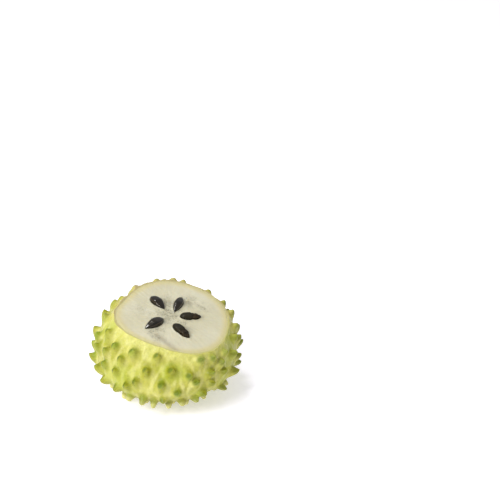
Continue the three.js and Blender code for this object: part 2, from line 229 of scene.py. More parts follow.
def peel_outside(points):
    """Raises the plain body into the peel. Out along the body goes a bell-shaped mound with a long
    tail to the stalk; along each spine's own lean, which is less low down, goes its height times a
    blunt bell, longer to the stalk, of the distance to its foot. Soft crests run between spines,
    where two feet are as near. Returns the points and what colours them."""
    shape = points.shape[:-1]
    flat = points.reshape(-1, 3)
    mound, share, head, top = np.zeros((4, len(flat)))
    nearest, second = np.full((2, len(flat)), NO_SPINE_NEAR)
    finger = np.zeros_like(flat)
    for (foot, (out, up, around), height, radius), changes in zip(spines, patch_changes):
        near = np.flatnonzero(np.linalg.norm(flat - foot, axis=-1) < MOUND_REACH)
        away = flat[near] - foot
        climb, across = away @ up, away @ around
        low = climb < 0
        size = height / SPINE_HEIGHT
        peg = np.clip(-2 * foot[2] / LOWER_DEPTH, 0, 1)

        slope = np.where(low, MOUND_TAIL, MOUND_HALF)
        swell = np.exp(-((climb / slope) ** 2) - (across / MOUND_HALF) ** 2)
        swell = MOUND_HEIGHT * (1 - PEG_MOUND_LOSS * peg) * swell
        mound[near] = np.maximum(mound[near], swell)

        apart = np.hypot(across, climb / np.where(low, SPINE_TAIL, 1))
        bluntness = SPINE_BLUNTNESS + PEG_BLUNTNESS * peg
        reach = bell(apart, radius * (1 - PEG_SLIMNESS * peg), bluntness)
        loss = np.clip(1 + LEAN_LOSS * foot[2] / LOWER_DEPTH, 0, 1)
        tilt = (ROOT_LEAN + (TIP_LEAN - ROOT_LEAN) * reach) * loss
        lean = np.cos(tilt)[:, None] * out + np.sin(tilt)[:, None] * up
        stronger = reach > share[near]
        finger[near[stronger]] = (height * reach[:, None] * lean)[stronger]
        share[near] = np.maximum(share[near], reach)

        wider, taller, darker, skewed = changes
        rise_from = climb - PATCH_START + (PATCH_SKEW + SKEW_SPREAD * skewed) * across
        wide = PATCH_WIDTH * (1 + WIDTH_SPREAD * wider)
        tall = (1 + TALLNESS_SPREAD * taller) * np.where(rise_from < 0, PATCH_BELOW, PATCH_ABOVE)
        patch = bell(np.hypot(across / wide, rise_from / tall) / size**0.5, 1, PATCH_EDGE)
        head[near] = np.maximum(head[near], (PATCH_STRENGTH + STRENGTH_SPREAD * darker) * patch)
        spot = ((across + SPOT_LEFT) / SPOT_WIDTH) ** 2
        spot = np.exp(-spot - ((climb - SPOT_UP) / SPOT_HEIGHT) ** 2)
        top[near] = np.maximum(top[near], spot)

        far = np.hypot(across, CREST_STRETCH * (climb + CREST_SHIFT))
        second[near] = np.minimum(second[near], np.maximum(nearest[near], far))
        nearest[near] = np.minimum(nearest[near], far)

    streak = ripple(flat * (1, 1, 0.22), size=3.2, amount=0.5, seed=8)
    broken_up = np.clip(0.65 + 0.5 * streak, 0, 1)
    crest = bell(second - nearest, CREST_WIDTH) * (1 - head) * broken_up
    out, _, _ = ways(flat)
    x, y, z = flat.T
    ring = np.hypot(x, y)
    way = np.clip((ring - RIDGE_INNER) / (RIDGE_OUTER - RIDGE_INNER), 0, 1)
    groove = 0.5 + 0.5 * np.cos(SPINE_RINGS[0][1] * (np.arctan2(y, x) + np.pi / 2))
    stem_ridge = np.where(z < 0, STEM_RIDGE * np.sin(np.pi * way) * groove**2, 0)
    fine = ripple(flat * (1, 1, 0.18), size=2.2, amount=0.09, seed=5)
    fine = fine + ripple(flat, size=9, amount=0.16, seed=6)
    fine = fine + ripple(flat, size=2.4, amount=0.06, seed=7)
    lift = mound + stem_ridge + CREST_HEIGHT * crest + fine - SKIN_SINK
    raised = flat + finger + lift[:, None] * out

    below_cut = np.maximum(CUT_LEVEL - z, 0)
    marks = {
        "tip": share,
        "head": head,
        "top": top,
        "crest": crest,
        "streak": 0.5 + 0.5 * streak,
        "low": z / LOWER_DEPTH,
        "by_cut": bell(below_cut, BY_CUT_REACH) * np.clip(0.5 + y / 30, 0, 1),
        "under_rim": bell(below_cut, UNDER_RIM_REACH) * np.clip(0.4 - y / 40, 0, 1),
        "faded": np.clip((x - 6) / 30, 0, 1) * np.clip(0.8 - y / 50, 0, 1),
        "stalk": np.where(z < 0, bell(ring, STALK_REACH), 0),
    }
    marks = {name: values.reshape(shape) for name, values in marks.items()}
    return grow(raised).reshape(*shape, 3), marks


def closed_grid(points):
    """Corners and faces of a surface whose rows run round it, from a point at one end to a point
    at the other: a fan, rows of quads, and a fan."""
    rows, columns = points.shape[:2]
    corners = np.concatenate([points[:1, 0], points[1:-1].reshape(-1, 3), points[-1:, 0]])
    ring = np.arange(columns)
    after = (ring + 1) % columns
    start = 1 + columns * np.arange(rows - 3)[:, None]
    here, next_row = start + ring, start + columns + ring
    quads = np.stack([here, start + after, start + columns + after, next_row], -1)
    last = len(corners) - 1
    top = last - columns
    first_fan = np.stack([0 * ring, 1 + after, 1 + ring], -1)
    last_fan = np.stack([top + ring, top + after, 0 * ring + last], -1)
    faces = quads.reshape(-1, 4).tolist() + first_fan.tolist() + last_fan.tolist()
    return corners, faces


def grid_values(values):
    """A grid's values in the order of closed_grid's corners."""
    return np.concatenate([values[:1, 0], values[1:-1].ravel(), values[-1:, 0]])


METRES = 0.001  # a millimetre, in the metres of the meshes


def make_piece(name, corners, faces, marks):
    """A smooth mesh object in metres, with a float attribute for each mark."""
    mesh = bpy.data.meshes.new(name)
    mesh.from_pydata((corners * METRES).tolist(), [], faces)
    for mark, values in marks.items():
        attribute = mesh.attributes.new(mark, "FLOAT", "POINT")
        attribute.data.foreach_set("value", values.astype(np.float32))
    mesh.shade_smooth()
    piece = bpy.data.objects.new(name, mesh)
    bpy.context.scene.collection.objects.link(piece)
    return piece


def round_rows(latitudes, columns):
    """Rows of points round the plain body, one row for each latitude."""
    longitude = np.linspace(0, 2 * np.pi, columns, endpoint=False)
    return body_point(longitude[None, :], np.asarray(latitudes)[:, None])


# The peel is worked out up to this latitude and closed above it, where the knife takes it away
PEEL_TOP = np.radians(41)
OUTER_ROWS, OUTER_COLUMNS = 192, 450
INNER_ROWS, INNER_COLUMNS, INNER_DROP = 60, 120, 6

outer_latitudes = np.linspace(-np.pi / 2, PEEL_TOP, OUTER_ROWS)
outer, outer_marks = peel_outside(draw_together(round_rows(outer_latitudes, OUTER_COLUMNS)))
outer[-1] = grow(np.array([0.0, 0.0, UPPER_HEIGHT]))
outer_corners, outer_faces = closed_grid(outer)

inner_rows = round_rows(np.linspace(-np.pi / 2, PEEL_TOP, INNER_ROWS), INNER_COLUMNS)
inner = grow(inner_rows - PEEL_THICKNESS * ways(inner_rows)[0])
inner[-1] = grow(np.array([0.0, 0.0, UPPER_HEIGHT - INNER_DROP]))
inner_corners, inner_faces = closed_grid(inner)
inner_faces = [[len(outer_corners) + i for i in reversed(face)] for face in inner_faces]
peel_marks = {
    name: np.concatenate([grid_values(values), np.zeros(len(inner_corners))])
    for name, values in outer_marks.items()
}
peel_marks["inside"] = np.repeat([0.0, 1.0], [len(outer_corners), len(inner_corners)])
peel_corners = np.concatenate([outer_corners, inner_corners])
peel_marks["front"] = np.clip(0.3 - peel_corners[:, 1] / 35 + peel_corners[:, 0] / 90, 0, 1)
peel = make_piece("peel", peel_corners, outer_faces + inner_faces, peel_marks)

# The plane of the cut: its middle, the way out of it, and the ways right and back along it
cut_normal = unit(np.array([-CUT_SLOPE[0], -CUT_SLOPE[1], 1.0]))
cut_middle = np.array([AXIS[0] + LEAN, AXIS[1], WIDEST_LEVEL + CUT_LEVEL + CUT_SLOPE[0] * LEAN])
cut_right = unit(np.array([1.0, 0.0, 0.0]) - cut_normal[0] * cut_normal)
cut_back = np.cross(cut_normal, cut_right)
BLOCK = 150.0
BLOCK_FACES = [[0, 2, 3, 1], [4, 5, 7, 6], [0, 1, 5, 4], [2, 6, 7, 3], [0, 4, 6, 2], [1, 3, 7, 5]]


def knife_block(middle, right, back, up):
    """A block that stands on a plane, from its middle out to both sides and up."""
    steps = np.array([[x, y, z] for z in (0, 1) for y in (-1, 1) for x in (-1, 1)])
    return middle + BLOCK * steps @ np.array([right, back, up])


# One knife takes away what is above the cut and what is below the table
table_ways = np.array([1.0, 0, 0]), np.array([0, -1.0, 0]), np.array([0, 0, -1.0])
table_block = knife_block(np.zeros(3), *table_ways)
blocks = np.concatenate([knife_block(cut_middle, cut_right, cut_back, cut_normal), table_block])
block_faces = BLOCK_FACES + [[8 + i for i in face] for face in BLOCK_FACES]
knife = make_piece("knife", blocks, block_faces, {})

cut = peel.modifiers.new("cut", "BOOLEAN")
cut.operation = "DIFFERENCE"
cut.solver = "MANIFOLD"
cut.object = knife
bpy.context.view_layer.update()
sliced = bpy.data.meshes.new_from_object(peel.evaluated_get(bpy.context.evaluated_depsgraph_get()))
peel.modifiers.clear()
peel.data = sliced
bpy.data.objects.remove(knife)
CUT_TOLERANCE = 2e-5  # in metres: what is this close to the knife's plane was made by the knife


def carry_marks(mesh, names):
    """Gives each corner that the knife or the table made the marks of a corner its edges lead
    to, in three rounds."""
    places, ends = np.empty(3 * len(mesh.vertices)), np.empty(2 * len(mesh.edges), np.int32)
    mesh.vertices.foreach_get("co", places)
    mesh.edges.foreach_get("vertices", ends)
    places, ends = places.reshape(-1, 3), ends.reshape(-1, 2)
    known = np.abs((places - cut_middle * METRES) @ cut_normal) > CUT_TOLERANCE
    known &= places[:, 2] > CUT_TOLERANCE
    ends = np.concatenate([ends, ends[:, ::-1]])
    for _ in range(3):
        blank, source = ends[~known[ends[:, 0]] & known[ends[:, 1]]].T
        for name in names:
            values = np.empty(len(places), np.float32)
            mesh.attributes[name].data.foreach_get("value", values)
            values[blank] = values[source]
            mesh.attributes[name].data.foreach_set("value", values)
        known[blank] = True


def mark_cut_face(piece, middle, normal):
    """Gives the faces that lie in a plane the second material, with sharp edges round them."""
    mesh = piece.data
    count, loops = len(mesh.polygons), len(mesh.loops)
    centres, normals = np.empty(3 * count), np.empty(3 * count)
    mesh.polygons.foreach_get("center", centres)
    mesh.polygons.foreach_get("normal", normals)
    away = (centres.reshape(-1, 3) - middle * METRES) @ normal
    flat = (np.abs(away) < CUT_TOLERANCE) & (normals.reshape(-1, 3) @ normal > 0.99)
    mesh.polygons.foreach_set("material_index", flat.astype(np.int32))
    sides, edges = np.empty(count, np.int32), np.empty(loops, np.int32)
    mesh.polygons.foreach_get("loop_total", sides)
    mesh.loops.foreach_get("edge_index", edges)
    on_cut = np.bincount(edges, np.repeat(flat, sides), len(mesh.edges))
    used = np.bincount(edges, minlength=len(mesh.edges))
    sharp = mesh.attributes.new("sharp_edge", "BOOLEAN", "EDGE")
    sharp.data.foreach_set("value", (on_cut > 0) & (on_cut < used))


def paint(red, green, blue):
    """A colour on a painter's scale of 0 to 255, as light."""
    share = np.array([red, green, blue]) / 255
    light = np.where(share < 0.04045, share / 12.92, ((share + 0.055) / 1.055) ** 2.4)
    return (*light.tolist(), 1.0)


def feed(tree, socket, value):
    """Joins a socket to what it is given, or sets it."""
    if isinstance(value, bpy.types.NodeSocket):
        tree.links.new(value, socket)
    else:
        socket.default_value = value


def add(tree, kind, settings=None, **inputs):
    """A shader node with its settings, and with each input set or joined."""
    node = tree.nodes.new("ShaderNode" + kind)
    for name, value in (settings or {}).items():
        setattr(node, name, value)
    for name, value in inputs.items():
        feed(tree, node.inputs[name.replace("_", " ")], value)
    return node


def blend(tree, share, first, second):
    """The first colour, turning into the second as the share rises."""
    node = add(tree, "Mix", {"data_type": "RGBA"})
    for number, value in ((0, share), (6, first), (7, second)):
        feed(tree, node.inputs[number], value)
    return node.outputs[2]


def painted(tree, colour, *coats):
    """Coats of colour laid on one after another, each as strongly as its share."""
    for share, shade in coats:
        colour = blend(tree, share, colour, shade)
    return colour


def mark(tree, name):
    """The values of one of the mesh's own marks."""
    return add(tree, "Attribute", {"attribute_name": name}).outputs["Fac"]


def rise(tree, value, low, high, start=0.0, end=1.0):
    """A smooth step from `start` to `end` as the value goes from low to high."""
    settings = {"interpolation_type": "SMOOTHSTEP"}
    ranges = {"From_Min": low, "From_Max": high, "To_Min": start, "To_Max": end}
    return add(tree, "MapRange", settings, Value=value, **ranges).outputs["Result"]


def times(tree, first, second):
    """One value times another."""
    node = add(tree, "Math", {"operation": "MULTIPLY"})
    feed(tree, node.inputs[0], first)
    feed(tree, node.inputs[1], second)
    return node.outputs[0]


def noise(tree, place, scale, detail, distortion=0.0):
    """Cloudy noise from 0 to 1."""
    inputs = {"Vector": place, "Scale": scale, "Detail": detail, "Distortion": distortion}
    return add(tree, "TexNoise", **inputs).outputs[0]


def grown_mottle():
    """The unevenness of anything grown: soft blotches and a fine grain, each from 0 to 1."""
    group = bpy.data.node_groups.new("grown_mottle", "ShaderNodeTree")
    face = group.interface
    face.new_socket("Place", in_out="INPUT", socket_type="NodeSocketVector")
    for name in ("Blotch", "Grain"):
        face.new_socket(name + " Scale", in_out="INPUT", socket_type="NodeSocketFloat")
        face.new_socket(name, in_out="OUTPUT", socket_type="NodeSocketFloat")
    given, made = group.nodes.new("NodeGroupInput"), group.nodes.new("NodeGroupOutput")
    for name, detail in (("Blotch", 2.0), ("Grain", 4.0)):
        cloud = noise(group, given.outputs["Place"], given.outputs[name + " Scale"], detail)
        group.links.new(rise(group, cloud, 0.3, 0.7), made.inputs[name])
    return group


mottle = grown_mottle()


def new_look(name, blotch_scale, grain_scale):
    """An empty material with its shader and its own mottle. Returns them all."""
    look = bpy.data.materials.new(name)
    look.use_nodes = True
    tree = look.node_tree
    place = add(tree, "TexCoord").outputs["Object"]
    scales = {"Blotch_Scale": blotch_scale, "Grain_Scale": grain_scale}
    uneven = add(tree, "Group", {"node_tree": mottle}, Place=place, **scales).outputs
    return look, tree, tree.nodes["Principled BSDF"], place, uneven["Blotch"], uneven["Grain"]


def bumpy(tree, shader, height, strength, depth):
    """Fine relief from a height, `depth` metres deep."""
    bump = add(tree, "Bump", Height=height, Strength=strength, Distance=depth)
    tree.links.new(bump.outputs["Normal"], shader.inputs["Normal"])


def soft_light(shader, weight, radius):
    """Lets light sink in under the surface, red the deepest."""
    shader.inputs["Subsurface Weight"].default_value = weight
    shader.inputs["Subsurface Radius"].default_value = radius
    shader.inputs["Subsurface Scale"].default_value = 1.0


def waxy_rind():
    """Yellow green with paler streaks and crests. The upper side of each spine is olive with a dark
    middle and brown specks, and faded at the right; low spines have tips painted pale instead, as
    painted light from the table below. Painted shade darkens the rind low down; it is paler under
    the rim, browner by the cut at the back, and greener round the stalk."""
    look, tree, shader, place, blotch, grain = new_look("waxy_rind", 55.0, 900.0)
    head, low, faded = mark(tree, "head"), mark(tree, "low"), mark(tree, "faded")
    streaks = rise(tree, mark(tree, "streak"), 0.3, 0.9, 0, 0.5)
    crests = rise(tree, mark(tree, "crest"), 0.1, 0.8, 0, 0.6)
    crests = times(tree, crests, rise(tree, faded, 0, 1, 1, 0.35))
    under_rim = times(tree, mark(tree, "under_rim"), 0.6)
    fresh = rise(tree, noise(tree, place, 38.0, 1.5), 0.52, 0.68, 0, 0.45)
    upper = times(tree, rise(tree, low, -0.8, -0.3, 0.15, 1), rise(tree, faded, 0, 1, 1, 0.6))
    olive = times(tree, times(tree, rise(tree, head, 0.1, 0.8), upper), 0.8)
    ripe = rise(tree, noise(tree, place, 70.0, 1.0), 0.42, 0.58)
    olive_tone = blend(tree, ripe, paint(122, 142, 10), paint(146, 147, 14))
    dark_middle = times(tree, rise(tree, mark(tree, "top"), 0.2, 0.9), upper)
    dark_middle = times(tree, dark_middle, 0.85)
    specks = rise(tree, noise(tree, place, 520.0, 3.0), 0.56, 0.7)
    specks = times(tree, specks, rise(tree, head, 0.05, 0.6, 0.1, 0.45))
    # Painted shade: the rind is darkened towards the bottom, where the table shades it
    painted_underside_shade = rise(tree, low, -0.05, -0.55, 0, 0.5)
    # Painted light: the tips of low spines are painted pale, as if lit from the table beneath them
    painted_table_light_tips = times(tree, rise(tree, mark(tree, "tip"), 0.2, 0.7), rise(tree, low, -0.2, -0.55))
    painted_table_light_tips = times(tree, painted_table_light_tips, 0.8)
    by_cut = times(tree, mark(tree, "by_cut"), 0.85)
    by_stalk = times(tree, mark(tree, "stalk"), 0.75)
    pores = rise(tree, grain, 0, 1, 0.14, 0)
    colour = painted(
        tree,
        blend(tree, blotch, paint(168, 168, 56), paint(186, 184, 76)),
        (streaks, paint(204, 199, 108)),
        (crests, paint(214, 210, 130)),
        (under_rim, paint(212, 208, 118)),
        (fresh, paint(168, 182, 44)),
        (olive, olive_tone),
        (dark_middle, paint(88, 106, 4)),
        (specks, paint(104, 92, 30)),
        (painted_underside_shade, paint(150, 148, 66)),
        (painted_table_light_tips, paint(228, 223, 146)),
        (by_cut, paint(192, 176, 112)),
        (by_stalk, paint(132, 148, 58)),
        (pores, paint(130, 132, 50)),
    )
    tree.links.new(colour, shader.inputs["Base Color"])
    tree.links.new(rise(tree, grain, 0, 1, 0.5, 0.38), shader.inputs["Roughness"])
    bumpy(tree, shader, noise(tree, place, 260.0, 4.0, 0.6), 0.6, 0.0012)
    shader.inputs["Specular IOR Level"].default_value = 0.3
    soft_light(shader, 0.12, (0.003, 0.0024, 0.0008))
    return look


def rind_cut():
    """The sliced edge of the rind: dull tan, yellower at the front and creamier on the inside."""
    look, tree, shader, _, blotch, grain = new_look("rind_cut", 90.0, 1200.0)
    colour = painted(
        tree,
        blend(tree, blotch, paint(174, 164, 106), paint(170, 154, 102)),
        (rise(tree, mark(tree, "front"), 0.1, 0.9, 0, 0.85), paint(193, 187, 110)),
        (rise(tree, mark(tree, "inside"), 0.1, 1.0), paint(206, 197, 144)),
        (rise(tree, grain, 0, 1, 0.15, 0), paint(160, 145, 88)),
    )
    tree.links.new(colour, shader.inputs["Base Color"])
    shader.inputs["Roughness"].default_value = 0.45
    bumpy(tree, shader, grain, 0.3, 0.0003)
    soft_light(shader, 0.2, (0.003, 0.0024, 0.001))
    return look


peel.data.materials.clear()
peel.data.materials.append(waxy_rind())
peel.data.materials.append(rind_cut())
mark_cut_face(peel, cut_middle, cut_normal)
carry_marks(peel.data, peel_marks)
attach(peel, "root")
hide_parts("skin")


# ---- Seeds ----
# Five flattened dark brown seeds that the knife laid bare, with a raised edge all round and a thin
# end. Three have a glossy coat, and two are dull, with a lumpy thin end. They sit in their own
# hollows of the pulp, halfway out of the cut.

SEEDS = [
    # right and back of the middle of the cut, length, width, way the thin end points, roundness,
    # dullness
    (-12.1, 14.2, 17.0, 8.4, -56, 0.7, 0.0),
    (3.0, 14.1, 21.5, 6.8, -107, 0.95, 0.1),
    (12.0, 0.5, 16.0, 8.0, 8, 0.5, 1.0),
    (4.7, -18.2, 18.5, 8.0, -54, 0.6, 0.9),
    (-15.2, -12.4, 20.0, 8.6, -132, 0.8, 0.0),
]
SEED_THICKNESS, SEED_RISE = 5.6, 0.5
SEED_SKEW, SEED_TAPER = 0.9, 0.3
BULGE, BULGE_AT, BULGE_REACH = 0.16, 0.78, 0.1
WAIST, WAIST_AT, WAIST_REACH = 0.13, 0.56, 0.07
LUMP_SIZE, LUMP_AMOUNT, LUMPS_FROM, LUMPS_STEEPNESS = 2.6, 0.13, 0.5, 24
LUMP_SINK, LUMP_LIMIT = 0.06, 0.3
EDGE_AT, EDGE_WIDTH, EDGE_HEIGHT, EDGE_FULLNESS = 0.86, 0.07, 0.14, 0.1
WOBBLE, DULL_WOBBLE, WAVY_TOP, FLAT_TOP = 0.02, 0.03, 0.05, 0.35
SEED_ROWS, SEED_COLUMNS, FIRST_LUMPS = 72, 60, 50


def seed_width(t, blunt, dull):
    """Half width along a seed as a share of the widest: the sine of a skewed share of pi, to the
    power `blunt`, less a taper to the thin end. A dull seed has a waist and a bulge past it."""
    def plain(s):
        return np.sin(np.pi * s**SEED_SKEW) ** blunt * (1 - SEED_TAPER * s)
    width = plain(np.clip(t, 0, 1)) / plain(np.linspace(0, 1, 400)[1:-1]).max()
    bulge, waist = bell(t - BULGE_AT, BULGE_REACH), bell(t - WAIST_AT, WAIST_REACH)
    return width * (1 + dull * (BULGE * bulge - WAIST * waist))


def seed_surface(length, width, blunt, dull, number):
    """A seed from end to end, and round it. Across goes its half width times the cosine of the
    turn, less a ripple that dents the thin end of a dull seed. Up goes half its thickness times
    the sine of the turn, flatter above, with a raised edge. Returns how far along it, across it
    and up each point is, and how near its edge."""
    t = (1 - np.cos(np.pi * np.linspace(0, 1, SEED_ROWS)))[:, None] / 2
    turn = np.linspace(0, 2 * np.pi, SEED_COLUMNS, endpoint=False)[None, :]
    cosine, sine, middling = np.cos(turn), np.sin(turn), np.sin(np.pi * t)
    half = seed_width(t, blunt, dull) * (t > 0) * (t < 1)
    thickness = half * sine * SEED_THICKNESS / 2
    plain = np.stack([t * length + 0 * turn, half * cosine * width / 2, thickness], -1)
    lumpy = dull / (1 + np.exp(LUMPS_STEEPNESS * (LUMPS_FROM - t)))
    lumps = lumpy * ripple(plain, LUMP_SIZE, LUMP_AMOUNT, FIRST_LUMPS + number)
    half = half * (1 + np.clip(lumps - LUMP_SINK * dull, -LUMP_LIMIT, 0))
    edge = bell(np.abs(cosine) - EDGE_AT, EDGE_WIDTH) * middling**0.5
    wobble = (WOBBLE + DULL_WOBBLE * dull) * (np.sin(turn + 9 * t + number) - 1)
    across = half * cosine * (width / 2) * (1 + wobble * middling)
    flat_top = np.sqrt(1 - cosine**2 * (FLAT_TOP + (1 - FLAT_TOP) * cosine**2))
    bulge = np.where(sine > 0, flat_top, sine)
    up = half * bulge * (SEED_THICKNESS / 2) * (1 - EDGE_FULLNESS + EDGE_FULLNESS * cosine**2)
    up = up * (1 + WAVY_TOP * np.sin(5 * np.pi * t) * middling)
    return t, across, up + EDGE_HEIGHT * edge * np.sign(sine), edge


def seed_ways(points):
    """The way to a seed's thin end, and the way across it, in the plane of the cut."""
    angle = np.radians(points)
    along = np.cos(angle) * cut_right + np.sin(angle) * cut_back
    return along, np.cross(along, cut_normal)


def seed_coat():
    """Near black, browner in blotches and on the edge, under a hard clear coat. A dull seed has
    less coat, a smooth grey-brown end and a thin end like bark."""
    look, tree, shader, _, blotch, grain = new_look("seed_coat", 160.0, 900.0)
    dull, along = mark(tree, "dull"), mark(tree, "along")
    smooth_end = times(tree, dull, rise(tree, along, 0.62, 0.5))
    rough_end = times(tree, dull, rise(tree, along, 0.5, 0.62))
    colour = painted(
        tree,
        blend(tree, blotch, paint(16, 14, 10), paint(32, 26, 18)),
        (rise(tree, mark(tree, "edge"), 0.2, 1, 0, 0.7), paint(72, 60, 42)),
        (times(tree, smooth_end, 0.8), paint(36, 34, 24)),
        (times(tree, rough_end, rise(tree, grain, 0.2, 0.9)), paint(50, 40, 24)),
    )
    tree.links.new(colour, shader.inputs["Base Color"])
    gloss = rise(tree, grain, 0, 1, 0.22, 0.17)
    sheen = add(tree, "Math", {"operation": "ADD", "use_clamp": True})
    tree.links.new(gloss, sheen.inputs[0])
    tree.links.new(times(tree, dull, 0.32), sheen.inputs[1])
    tree.links.new(sheen.outputs[0], shader.inputs["Roughness"])
    shader.inputs["Specular IOR Level"].default_value = 0.12
    tree.links.new(rise(tree, dull, 0, 1, 0.5, 0.1), shader.inputs["Coat Weight"])
    shader.inputs["Coat Roughness"].default_value = 0.13
    shader.inputs["Coat IOR"].default_value = 1.55
    shader.inputs["Specular Tint"].default_value = (1.0, 0.88, 0.6, 1.0)
    relief = times(tree, grain, rise(tree, rough_end, 0, 1, 0.03, 1))
    bumpy(tree, shader, relief, 0.5, 0.0004)
    return look


coat = seed_coat()
for number, (right, back, length, width, points, blunt, dull) in enumerate(SEEDS, 1):
    t, across, up, edge = seed_surface(length, width, blunt, dull, number)
    way_along, way_across = seed_ways(points)
    middle = cut_middle + right * cut_right + back * cut_back + SEED_RISE * cut_normal
    grid = middle + across[..., None] * way_across + up[..., None] * cut_normal
    grid = grid + ((t - 0.5) * length)[..., None] * way_along
    corners, faces = closed_grid(grid)
    seed_marks = {"edge": edge + 0 * across, "along": t + 0 * across, "dull": dull + 0 * across}
    seed_marks = {mark: grid_values(values) for mark, values in seed_marks.items()}
    seed = make_piece(f"seed_{number}_coat", corners, faces, seed_marks)
    seed.data.materials.append(coat)
    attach(seed, "root")
    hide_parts(f"seed_{number}")


# ---- Pulp ----
# One mass of cream-white pulp that fills the peel, cut flat. Fine fibres run out from the core,
# and each seed has its own hollow with a soft lip.

PULP_DEPTH = 1.15
SEED_SLACK = 0.12
LIP_HEIGHT, LIP_REACH, NEARNESS_REACH = 0.3, 1.3, 1.6
# The painted shadow each seed casts on the pulp: how far it lies to the right and back, and its
# size
SEED_SHADOW_RIGHT, SEED_SHADOW_BACK, SEED_SHADOW_WIDTH, SEED_SHADOW_DEPTH = 0.28, 0.12, 5.5, 4.5
FURROW_WIDTH, FURROW_DEPTH = 2.6, 0.35
CORE_WIDTH, CORE_DEPTH, ROUND_CORE = 4.5, 0.3, 15
RIM_WIDTH, RIM_DROP, BACK_RIM = 0.8, 0.1, 0.15
SPOKE_TURN, SPOKE_ALONG = 14, 0.12
CORE = np.array([-4.8, 1.2])
SMUDGES = [
    # right and back of the middle of the cut, reach, strength
    (-6, 18, 6, 0.9), (-6, 8, 6, 1.0), (13, 20, 6, 1.0), (21, 14, 6, 0.7), (-5, 0, 6, 1.0),
    (-12, -20, 5, 0.9), (-16, -24, 5, 0.9), (-12, -30, 5, 0.8), (7, -8, 4, 0.5), (-26, 4, 7, 0.4),
]
FURROW = np.array([[-12.0, -26.0], [-5.0, -34.5], [3.0, -44.0]])


def seed_hollows(right_of, back_of, surface):
    """Lowers the cut surface to the underside of each seed, a little larger than life, and lifts
    a soft lip round it. Also returns how near each point is to a seed, which sets the painted shade
    round it, and where the painted shadow beside it falls."""
    nearness, painted_seed_shadow = np.zeros_like(surface), np.zeros_like(surface)
    for right, back, length, width, points, blunt, dull in SEEDS:
        angle = np.radians(points)
        dx, dy = right_of - right, back_of - back
        long = dx * np.cos(angle) + dy * np.sin(angle)
        wide = np.abs(dx * np.sin(angle) - dy * np.cos(angle))
        share = seed_width(long / (length + 2 * SEED_SLACK) + 0.5, blunt, dull)
        half = share * (width / 2 + SEED_SLACK)
        beyond = np.maximum(np.abs(long) - length / 2 - SEED_SLACK, 0)
        outside = np.where(beyond > 0, np.hypot(beyond, wide), wide - half)
        clear = np.maximum(outside, 0)
        nearness = np.maximum(nearness, bell(clear, NEARNESS_REACH))
        # Painted shadow of the seed, off to its right and back
        shadow_right = (dx - SEED_SHADOW_RIGHT * length) / SEED_SHADOW_WIDTH
        shadow_back = (dy - SEED_SHADOW_BACK * length) / SEED_SHADOW_DEPTH
        painted_seed_shadow = np.maximum(painted_seed_shadow, bell(np.hypot(shadow_right, shadow_back), 1))
        surface = surface + LIP_HEIGHT * bell(clear, LIP_REACH)
        round_off = np.sqrt(np.clip(1 - (wide / np.maximum(half, 1e-3)) ** 2, 0, 1))
        depth = (SEED_THICKNESS / 2 + SEED_SLACK) * share * round_off
        surface = np.where(outside < 0, np.minimum(surface, SEED_RISE - depth), surface)
    return surface, nearness, painted_seed_shadow


def from_line(right_of, back_of, line):
    """The distance of each point to a line of straight stretches."""
    points = np.stack([right_of, back_of], -1)
    best = np.full_like(right_of, 99.0)
    for start, end in zip(line[:-1], line[1:]):
        way = end - start
        share = np.clip((points - start) @ way / (way @ way), 0, 1)
        best = np.minimum(best, np.linalg.norm(points - start - share[..., None] * way, axis=-1))
    return best


# The wall is the plain body drawn in by the pulp's depth and grown, up to the latitude where it
# meets the level of the cut. The top is rings at that level, drawn in from there to the middle.
PULP_COLUMNS, WALL_ROWS, TOP_ROWS = 400, 44, 170
trial_latitudes = np.radians(np.linspace(20, 60, 2000))
trial_points = body_point(0.0, trial_latitudes)
trial_points = trial_points - PULP_DEPTH * ways(trial_points)[0]
rim_latitude = np.interp(CUT_LEVEL, trial_points[:, 2], trial_latitudes)
rim_radius = np.interp(CUT_LEVEL, trial_points[:, 2], trial_points[:, 0])
wall = round_rows(np.linspace(-np.pi / 2, rim_latitude, WALL_ROWS), PULP_COLUMNS)
wall = grow(wall - PULP_DEPTH * ways(wall)[0])
longitude = np.linspace(0, 2 * np.pi, PULP_COLUMNS, endpoint=False)[None, :]
inward = np.linspace(1, 0, TOP_ROWS + 1)[1:, None]
ring = rim_radius * inward
level = CUT_LEVEL + 0 * inward * longitude
top = grow(np.stack([ring * np.cos(longitude), ring * np.sin(longitude), level], -1))

# The cut surface rises and falls with ripples and with fibres, which are ripples of the way from
# the core, and sinks at the furrow, the core and the rim.
right_of, back_of = (top - cut_middle) @ cut_right, (top - cut_middle) @ cut_back
from_rim = rim_radius * (1 - inward) / (1 + BACK_RIM * np.clip(np.sin(longitude), 0, 1))
flat_place = np.stack([right_of, back_of, 0 * right_of], -1)
core_way = np.stack([right_of - CORE[0], back_of - CORE[1]], -1)
from_core = np.linalg.norm(core_way, axis=-1)
turned = core_way / np.maximum(from_core, 0.5)[..., None] * SPOKE_TURN
spoke = np.concatenate([turned, from_core[..., None] * SPOKE_ALONG], -1)
fibres = ripple(spoke, size=1.1, amount=0.03, seed=31) * np.clip(from_core / 8, 0, 1)
surface = ripple(flat_place, size=16, amount=0.12, seed=32)
surface = surface + ripple(flat_place, size=3.5, amount=0.035, seed=33) + fibres
furrow = bell(from_line(right_of, back_of, FURROW), FURROW_WIDTH)
core = bell(from_core, CORE_WIDTH)
ash = np.zeros_like(surface)
for right, back, reach, share in SMUDGES:
    away = np.hypot(right_of - right, back_of - back)
    ash = np.maximum(ash, share * bell(away, reach))
surface = surface - FURROW_DEPTH * furrow - CORE_DEPTH * core - RIM_DROP * bell(from_rim, RIM_WIDTH)
surface, painted_shade_round_seeds, painted_seed_shadow = seed_hollows(right_of, back_of, surface)
top = top + surface[..., None] * cut_normal
pulp_corners, pulp_faces = closed_grid(np.concatenate([wall, top]))

